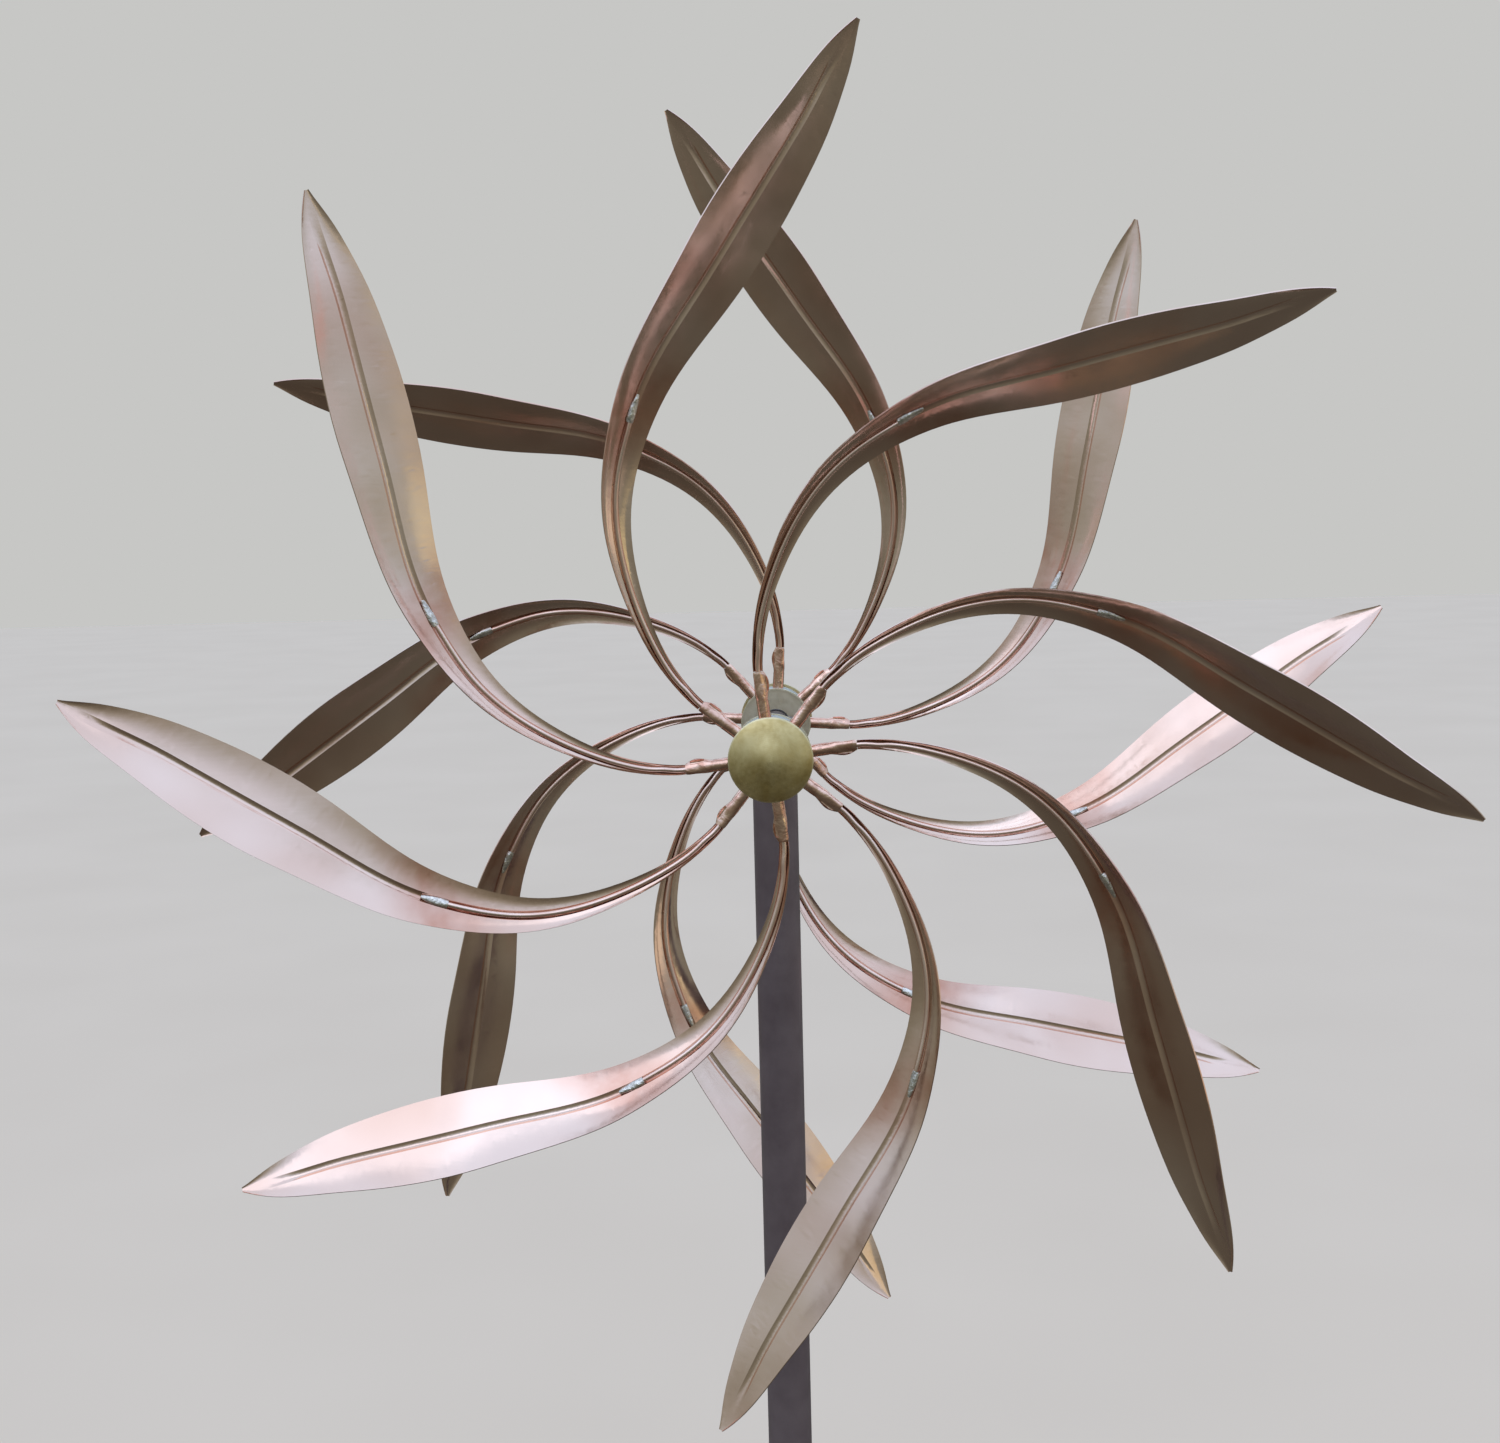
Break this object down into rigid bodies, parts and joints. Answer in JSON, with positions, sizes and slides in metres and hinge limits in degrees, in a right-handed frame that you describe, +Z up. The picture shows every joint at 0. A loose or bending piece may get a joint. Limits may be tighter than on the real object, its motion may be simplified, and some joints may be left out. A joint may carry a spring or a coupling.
{
  "type": "wind spinner",
  "caption": "Garden wind spinner with two opposed rotors of curved copper leaves on one fixed axle, carried by a sectional pole with a forked ground stake.",
  "frame": {"origin": "middle of the underside of the ground stake's step bar, on the pole's axis, at the ground line", "axes": "+Z up along the pole, the domed front of the spinner faces -Y, +X to the right seen from the front"},
  "size_m": [0.5988, 0.197, 1.7331],
  "materials": {
    "leaf_copper": "satin weathered copper sheet",
    "stem_copper": "bright copper wire",
    "socket_copper": "satin copper tube",
    "solder": "dull soft solder",
    "dome_brass": "patinated brass",
    "disc_brass": "patinated brass",
    "hub_alloy": "turned alloy",
    "bearing_steel": "ground",
    "zinc_steel": "zinc plated",
    "screw_steel": "black oxide",
    "cap_coat": "satin powder coat",
    "housing_coat": "satin powder coat",
    "pole_coat": "satin powder coat"
  },
  "bodies": {
    "stand": {"axle": "zinc_steel", "axle_housing": "housing_coat", "axle_nuts": "zinc_steel", "axle_washers": "zinc_steel", "fork_bar": "pole_coat", "fork_prongs": "pole_coat", "fork_spigot": "pole_coat", "front_bearing_inners": "bearing_steel", "pole_cap": "cap_coat", "pole_lower": "pole_coat", "pole_screws": "screw_steel", "pole_upper": "pole_coat", "rear_bearing_inners": "bearing_steel"},
    "front_rotor": {"front_bearing_balls": "bearing_steel", "front_bearing_outers": "bearing_steel", "front_disc": "disc_brass", "front_dome": "dome_brass", "front_hub_core": "hub_alloy", "front_leaf_1": "leaf_copper", "front_leaf_2": "leaf_copper", "front_leaf_3": "leaf_copper", "front_leaf_4": "leaf_copper", "front_leaf_5": "leaf_copper", "front_leaf_6": "leaf_copper", "front_leaf_7": "leaf_copper", "front_leaf_8": "leaf_copper", "front_sockets": "socket_copper", "front_solder": "solder", "front_stem_1": "stem_copper", "front_stem_2": "stem_copper", "front_stem_3": "stem_copper", "front_stem_4": "stem_copper", "front_stem_5": "stem_copper", "front_stem_6": "stem_copper", "front_stem_7": "stem_copper", "front_stem_8": "stem_copper"},
    "rear_rotor": {"rear_bearing_balls": "bearing_steel", "rear_bearing_outers": "bearing_steel", "rear_disc": "disc_brass", "rear_dome": "dome_brass", "rear_hub_core": "hub_alloy", "rear_leaf_1": "leaf_copper", "rear_leaf_2": "leaf_copper", "rear_leaf_3": "leaf_copper", "rear_leaf_4": "leaf_copper", "rear_leaf_5": "leaf_copper", "rear_leaf_6": "leaf_copper", "rear_leaf_7": "leaf_copper", "rear_leaf_8": "leaf_copper", "rear_sockets": "socket_copper", "rear_solder": "solder", "rear_stem_1": "stem_copper", "rear_stem_2": "stem_copper", "rear_stem_3": "stem_copper", "rear_stem_4": "stem_copper", "rear_stem_5": "stem_copper", "rear_stem_6": "stem_copper", "rear_stem_7": "stem_copper", "rear_stem_8": "stem_copper"}
  },
  "joints": [
    {"name": "front_spin", "type": "hinge", "parent": "stand", "child": "front_rotor", "pos_m": [0, -0.0712, 1.2], "axis": [0, 1, 0], "continuous": true},
    {"name": "rear_spin", "type": "hinge", "parent": "stand", "child": "rear_rotor", "pos_m": [0, 0.0712, 1.2], "axis": [0, 1, 0], "continuous": true}
  ]
}
